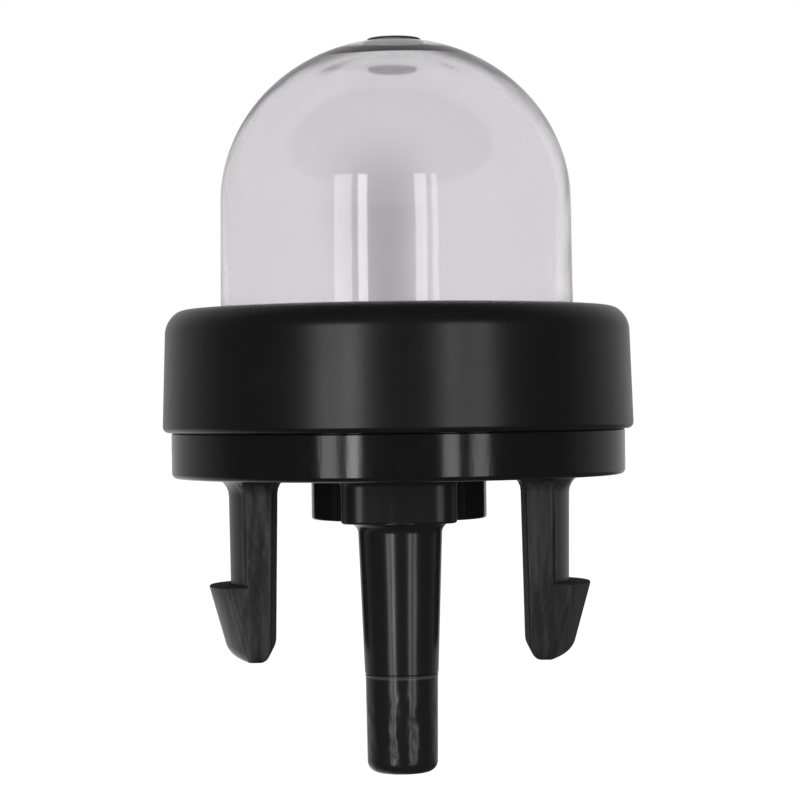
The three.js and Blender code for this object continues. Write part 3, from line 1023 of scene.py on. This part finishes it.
    def nipple(
        self, name: str, y: float, radii: tuple[float, float], length: float, marked: bool
    ) -> bpy.types.Object:
        """A tapered hose nipple under the cross arm.

        Args:
            name: The object's name.
            y: Its axis along Y.
            radii: Its radius at the root and at the tip.
            length: From the arm's underside to the tip.
            marked: Whether it has the mould's witness line round it.

        Returns:
            The nipple, with no bore.
        """
        root, tip = -self.boss_depth, -self.boss_depth - length
        line = [
            (self.witness_radius - inset, tip + self.witness_height + rise, self.witness_round)
            for inset, rise in (self.witness_line if marked else ())
        ]
        profile = rounded([
            (0, tip, 0),
            (radii[1], tip, self.nipple_tip_round),
            *line,
            (radii[0], root, self.nipple_fillet),
            (radii[0] + self.nipple_fillet, root, 0),
            (radii[0] + self.nipple_fillet, root + self.edge_round, 0),
            (0, root + self.edge_round, 0),
        ])
        made = turned(name, profile, self.small_steps, y)
        made.data.transform(Matrix.Translation((self.nipple_shift * MM, 0, 0)))
        return made

    def _bow(self, middle: float, end: float, half: float) -> list[Corner]:
        """Inner points of the arc that runs through two corners and bulges out between them."""
        sagitta = middle - end
        radius = (half**2 + sagitta**2) / (2 * sagitta)
        centre = middle - radius
        reach = math.atan2(half, end - centre)
        bow = arc(Vector((centre, 0)), radius, -reach, reach, self.leg_bow_steps)
        return [(p.x, p.y, 0) for p in bow[1:-1]]

    def _leg_plan(self, inner: float, outer: float, half: float, grow: float = 0.0) -> Outline:
        """Plan of a leg: flat inner face, straight sides, bowed outer face."""
        half += grow
        inner -= grow
        shoulder = self.leg_shoulder + grow / 2
        return rounded([
            (inner, 0, 0),
            (inner, -half, self.leg_edge),
            (shoulder, -half, self.shoulder_round),
            *self._bow(outer + grow, shoulder, half),
            (shoulder, half, self.shoulder_round),
            (inner, half, self.leg_edge),
            (inner, 0, 0),
        ])[:-1]

    def _barb_plan(
        self, inner: float, outer: float, half: float, ridge: tuple[float, float]
    ) -> Outline:
        """Plan of a barb: as the leg's, with a flat facet between shoulder and bow."""
        shoulder = self.leg_shoulder - (self.leg_half_width - half)
        return rounded([
            (inner, 0, 0),
            (inner, -half, self.leg_edge),
            (shoulder, -half, self.ridge_round),
            (ridge[0], -ridge[1], self.ridge_round),
            *self._bow(outer, ridge[0], ridge[1]),
            (ridge[0], ridge[1], self.ridge_round),
            (shoulder, half, self.ridge_round),
            (inner, half, self.leg_edge),
            (inner, 0, 0),
        ])[:-1]

    def leg(self) -> bpy.types.Object:
        """The right-hand snap leg: a tapered stem and a flared barb."""
        def inner_at(z: float) -> float:
            """Place of the tapered inner face at a height."""
            return self.leg_inner + self.leg_inner_taper * (-z / self.leg_length)

        def stem(z: float, grow: float = 0.0) -> tuple[float, Outline]:
            """One section of the stem."""
            outer = self.leg_outer - self.leg_outer_taper * (-z / self.panel_gap)
            return z, self._leg_plan(inner_at(z), outer, self.leg_half_width, grow)

        fillet = [stem(-rise, inset) for inset, rise in self._round(self.leg_fillet)]
        sections = [stem(-self.panel_gap - self.overlap), *fillet[::-1]]
        whole = lofted("leg_stem", [*sections, stem(self.overlap, self.leg_fillet)])

        def barb(z: float, share: float, inset: float = 0.0) -> tuple[float, Outline]:
            """One section of the barb, with the tip's rounding by its share."""
            height = self.leg_length - self.panel_gap
            reach = self.barb_reach - self.barb_runout * (-self.panel_gap - z) / height
            reach -= self.tip_outer * share + inset
            half = self.leg_half_width - self.tip_side * share
            shoulder = self.leg_shoulder - self.tip_side * share
            fade = (z - self.ridge_low) / (-self.panel_gap - self.ridge_low)
            fade = min(max(self.ridge_least, fade), 1.0)
            ridge = (
                shoulder + (self.ridge_reach - inset - shoulder) * fade,
                half + (self.ridge_half - half) * fade,
            )
            return z, self._barb_plan(inner_at(z) + self.tip_inner * share, reach, half, ridge)

        tip = []
        for k in range(self.tip_steps + 1):
            angle = math.pi / 2 * k / self.tip_steps
            z = -self.leg_length + self.tip_rise * (1 - math.cos(angle))
            tip.append(barb(z, 1 - math.sin(angle)))
        flank = [barb(z, 0) for z in self.flank_heights]
        lip = [
            barb(-self.panel_gap - inset, 0, rise)
            for inset, rise in self._round(self.barb_edge, self.barb_edge_steps)
        ]
        head = lofted("leg_barb", [*tip, *flank, *lip])
        return combined(whole, [head], Cut.JOIN)

    def legs(self) -> bpy.types.Object:
        """Both snap legs: one leg, turned to each side by Geometry Nodes."""
        tree = NodeTree("LegPair", {"Count": "NodeSocketInt", "Material": "NodeSocketMaterial"})
        points = tree.node(
            "GeometryNodePoints", Count=tree.entry.outputs["Count"], Position=(0, 0, 0)
        )
        index = tree.term(tree.node("GeometryNodeInputIndex").outputs[0])
        turn = index / tree.term(tree.entry.outputs["Count"]) * (2 * math.pi)
        rotation = tree.node("ShaderNodeCombineXYZ", Z=turn)
        copies = tree.node(
            "GeometryNodeInstanceOnPoints",
            Points=points.outputs[0],
            Instance=tree.entry.outputs["Geometry"],
            Rotation=rotation.outputs[0],
        )
        tree.finish(copies.outputs[0])
        return tree.apply(self.leg(), {"Count": 2})

    def _bar(self, name: str, radius: float, low: float, high: float, y: float,
             lead: float = 0.0) -> bpy.types.Object:
        """An upright cutting bar, with a lead-in chamfer near its lower end if asked for."""
        face = low + self.bore_overrun
        return turned(name, [Vector(p) for p in (
            (0, low), (radius + lead, low), (radius + lead, face),
            (radius, face + lead), (radius, high), (0, high),
        )], self.small_steps, y)

    def build(self) -> bpy.types.Object:
        """Joins the base's forms, bores the nipples and the well, and dresses it.

        Returns:
            The dressed base.
        """
        front, back = -self.nipple_offset, self.nipple_offset
        long_length, short_length = self.long_nipple_length, self.short_nipple_length
        base = combined(self.body(), [
            self.cross_arm(),
            self.nipple("long_nipple", front, self.long_nipple_radii, long_length, True),
            self.nipple("short_nipple", back, self.short_nipple_radii, short_length, False),
            self.legs(),
        ], Cut.JOIN)
        long_low = -self.boss_depth - long_length - self.bore_overrun
        short_low = -self.boss_depth - short_length - self.bore_overrun
        well_low = -self.boss_depth + self.well_floor
        above_disc = self.disc + self.overlap
        bore, lead = self.bore_radius, self.bore_lead
        base = combined(base, [
            self._bar("well", self.well_radius, well_low, above_disc, 0.0),
            self._bar("long_bore", bore, long_low, 0.0, front, lead),
            self._bar("short_bore", bore, short_low, above_disc, back, lead),
        ], Cut.TAKE_AWAY)
        base = smoothed(base, self.crease_degrees)
        return dressed(base, self.finish.material(), "base")


@dataclass
class CheckValve:
    """The rubber valve: an umbrella over the inlet and a duckbill in the well. Millimetres."""

    umbrella_radius: float = 5.5
    rim: float = 0.35
    crown: float = 1.2
    crown_radius: float = 1.6
    seat: float = 2.0
    lip_inset: float = 0.45
    lip_round: float = 0.05
    hollow_inset: float = 0.6
    hollow_height: float = 0.15
    edge_round: float = 0.15
    crown_round: float = 0.5
    plug_radius: float = 2.85
    plug_depth: float = 1.3
    plug_round: float = 0.12
    bore_radius: float = 0.75
    bore_depth: float = 0.9
    bill_root: float = 1.7
    bill_half_width: float = 1.4
    bill_half_thickness: float = 0.275
    bill_length: float = 1.45
    bill_overlap: float = 0.3
    bill_levels: int = 8
    bill_steps: int = 48
    crease_degrees: float = 32.0
    steps: int = 128
    finish: ValveRubber = field(default_factory=ValveRubber)

    def build(self) -> bpy.types.Object:
        """Turns the umbrella with its bore and lofts the duckbill under it.

        Returns:
            The dressed valve.
        """
        low = self.seat - self.plug_depth
        cap = turned("umbrella_valve", rounded([
            (0, low, 0),
            (self.plug_radius, low, self.plug_round),
            (self.plug_radius, self.seat + self.hollow_height, 0),
            (self.umbrella_radius - self.hollow_inset, self.seat + self.hollow_height, 0),
            (self.umbrella_radius - self.lip_inset, self.seat, 0),
            (self.umbrella_radius, self.seat, self.lip_round),
            (self.umbrella_radius, self.seat + self.rim, self.edge_round),
            (self.crown_radius, self.seat + self.crown, self.crown_round),
            (self.bore_radius, self.seat + self.crown, self.edge_round),
            (self.bore_radius, self.seat - self.bore_depth, 0),
            (0, self.seat - self.bore_depth, 0),
        ]), self.steps)
        angles = [2 * math.pi * (j + 0.5) / self.bill_steps for j in range(self.bill_steps)]
        sections = []
        for k in range(self.bill_levels + 1):
            share = 1 - k / self.bill_levels
            wide = self.bill_root + (self.bill_half_width - self.bill_root) * share
            thick = self.bill_root + (self.bill_half_thickness - self.bill_root) * share
            plan = [Vector((wide * math.cos(a), thick * math.sin(a))) for a in angles]
            sections.append((low - self.bill_length * share, plan))
        sections.append((low + self.bill_overlap, sections[-1][1]))
        valve = combined(cap, [lofted("duckbill", sections)], Cut.JOIN)
        valve = smoothed(valve, self.crease_degrees)
        return dressed(valve, self.finish.material(), "check_valve")


@dataclass(frozen=True)
class Strip:
    """One bright strip of a softbox. Angles in degrees from straight behind the camera."""

    side: Side
    inner: float
    outer: float
    radiance: float
    lit: Lit


@dataclass
class Studio:
    """White surroundings, two softboxes in strips, and a pale floor."""

    distance: float = 0.45
    strip_low: float = -0.15
    strip_high: float = 0.135
    floor_drop: float = 0.03
    floor_size: float = 3.0
    floor_glow: float = 0.75
    floor_colour: Colour = (0.8, 0.8, 0.8)
    ambient: float = 0.4
    front_gloss: float = 0.03
    behind_gloss: float = 0.5
    low_left_gloss: float = 1.0
    low_right_loss: float = 1.9
    low_blend: tuple[float, float] = (0.1, 0.35)
    side_blend: tuple[float, float] = (-0.2, 0.2)
    shade_rise: tuple[float, float] = (0.19, 0.03)
    shade_middle: float = 0.011
    shade_width: float = 0.042
    shade_depth: float = 1.0
    strips: tuple[Strip, ...] = (
        Strip(Side.LEFT, 19.0, 24.5, 6.0, Lit.BLACK_PARTS),
        Strip(Side.LEFT, 29.5, 38.5, 2.8, Lit.BLACK_PARTS),
        Strip(Side.RIGHT, 22.0, 29.5, 3.0, Lit.BLACK_PARTS),
        Strip(Side.RIGHT, 36.0, 44.5, 2.5, Lit.BLACK_PARTS),
        Strip(Side.LEFT, 18.0, 24.0, 8.0, Lit.CLEAR_DOME),
        Strip(Side.LEFT, 28.0, 39.5, 4.0, Lit.CLEAR_DOME),
        Strip(Side.RIGHT, 12.0, 19.5, 5.0, Lit.CLEAR_DOME),
        Strip(Side.RIGHT, 23.0, 27.0, 3.5, Lit.CLEAR_DOME),
    )

    def _world(self) -> None:
        """White for the camera, and through glass save a painted shadow low in the middle
        straight behind; bright only behind for gloss.
        """
        world = bpy.data.worlds.new("white_studio")
        bpy.context.scene.world = world
        world.use_nodes = True
        graph = Graph(world.node_tree)
        background = graph.tree.nodes["Background"]
        background.inputs["Color"].default_value = (1, 1, 1, 1)
        seen, through, glossy = graph.rays("Camera", "Transmission", "Glossy")
        place = graph.node("ShaderNodeTexCoord").outputs["Generated"]
        across, aft, rise = graph.parts(place)
        # A painted shadow on the backdrop, seen only through the clear dome.
        shade = abs(across - self.shade_middle).step(self.shade_width, 0.0)
        shade = shade * rise.step(*self.shade_rise) * aft.above(0)
        plain = seen + through * (1 - seen) * (1 - shade * self.shade_depth)
        sideways = across.step(*self.side_blend)
        low = (rise * -1).step(*self.low_blend)
        slant = 1 + low * (self.low_left_gloss - sideways * self.low_right_loss)
        behind = aft * aft.above(0) * slant
        mirrored = glossy * (1 - plain) * (behind * self.behind_gloss + self.front_gloss)
        rest = (1 - plain) * (1 - glossy) * self.ambient
        graph.feed(background.inputs["Strength"], plain + mirrored + rest)

    def _strip(self, strip: Strip, receivers: dict[Lit, bpy.types.Collection]) -> None:
        """One area light that fills a strip's angles, facing the object.

        Args:
            strip: The strip.
            receivers: The pieces that each kind of strip falls on.
        """
        middle = math.radians((strip.inner + strip.outer) / 2) * strip.side.value
        width = 2 * self.distance * math.tan(math.radians(strip.outer - strip.inner) / 2)
        height = self.strip_high - self.strip_low
        lamp = bpy.data.lights.new("softbox_strip", "AREA")
        lamp.shape = "RECTANGLE"
        lamp.size = width
        lamp.size_y = height
        lamp.energy = strip.radiance * width * height * math.pi
        stand = object_of("softbox_strip", lamp)
        place = Vector((math.sin(middle), -math.cos(middle), 0)) * self.distance
        place.z = (self.strip_low + self.strip_high) / 2
        stand.location = place
        stand.rotation_euler = (math.pi / 2, 0, middle)
        stand.visible_camera = False
        stand.visible_transmission = False
        stand.light_linking.receiver_collection = receivers[strip.lit]

    def _floor(self) -> bpy.types.Object:
        """A pale floor below the object, clear from underneath."""
        build = bmesh.new()
        bmesh.ops.create_grid(build, x_segments=1, y_segments=1, size=self.floor_size / 2)
        bmesh.ops.translate(build, verts=build.verts, vec=(0, 0, -self.floor_drop))
        mesh = bpy.data.meshes.new("floor")
        build.to_mesh(mesh)
        build.free()
        floor = object_of("floor", mesh)
        sheet = Sheet("pale_floor")
        seen, through = sheet.rays("Camera", "Transmission")
        glow = (seen + through * (1 - seen)) * self.floor_glow
        lift = sheet.node("ShaderNodeEmission", Strength=glow)
        matt = sheet.node("ShaderNodeBsdfDiffuse", Color=(*self.floor_colour, 1.0))
        both = sheet.node("ShaderNodeAddShader")
        under = sheet.node("ShaderNodeNewGeometry").outputs["Backfacing"]
        clear = sheet.node("ShaderNodeBsdfTransparent")
        sided = sheet.node("ShaderNodeMixShader", Fac=under)
        for source, target in (
            (lift, both.inputs[0]),
            (matt, both.inputs[1]),
            (both, sided.inputs[1]),
            (clear, sided.inputs[2]),
            (sided, sheet.tree.nodes["Material Output"].inputs[0]),
        ):
            sheet.feed(target, source.outputs[0])
        mesh.materials.append(sheet.material)
        floor.visible_glossy = False
        floor.visible_shadow = False
        return floor

    def build(self, pieces: Sequence[bpy.types.Object]) -> None:
        """Sets the world, the lamps and the floor.

        Args:
            pieces: The object's pieces, which the strips are shared out among.
        """
        self._world()
        receivers = {lit: bpy.data.collections.new(lit.value) for lit in Lit}
        for piece in [*pieces, self._floor()]:
            clear = piece.name == Lit.CLEAR_DOME.value
            receivers[Lit.CLEAR_DOME if clear else Lit.BLACK_PARTS].objects.link(piece)
        for strip in self.strips:
            self._strip(strip, receivers)
        LOG.info("studio: %d strips of light", len(self.strips))


@dataclass
class ViewCamera:
    """A level camera in front of the object, rolled a little, as the photograph was taken."""

    frame_pixels: float = 800.0
    focal_pixels: float = 2535.0
    pixels_per_mm: float = 21.33
    height_mm: float = 3.53
    aside_mm: float = 0.098
    roll_radians: float = 0.0115
    sensor_mm: float = 36.0
    clip: tuple[float, float] = (0.001, 10.0)

    def build(self) -> None:
        """Makes the camera and gives it to the scene."""
        lens = bpy.data.cameras.new("front_view")
        lens.sensor_width = self.sensor_mm
        lens.lens = self.sensor_mm * self.focal_pixels / self.frame_pixels
        lens.clip_start, lens.clip_end = self.clip
        camera = object_of("front_view", lens)
        level = Euler((math.pi / 2, 0, 0)).to_matrix()
        rolled = level @ Matrix.Rotation(-self.roll_radians, 3, "Z")
        distance = self.focal_pixels / self.pixels_per_mm * MM
        place = Vector((self.aside_mm * MM, -distance, self.height_mm * MM))
        camera.matrix_world = Matrix.Translation(place) @ rolled.to_4x4()
        bpy.context.scene.camera = camera


def main() -> None:
    """Builds every piece, the studio and the camera."""
    logging.basicConfig(level=logging.INFO, format="%(name)s: %(message)s")
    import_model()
    bpy.context.scene.view_settings.view_transform = "Standard"
    ViewCamera().build()
    makers = [RetainingCollar(), ClearBulb(), MouldedBase(), CheckValve()]
    Studio().build([maker.build() for maker in makers])


if __name__ == "__main__":
    main()
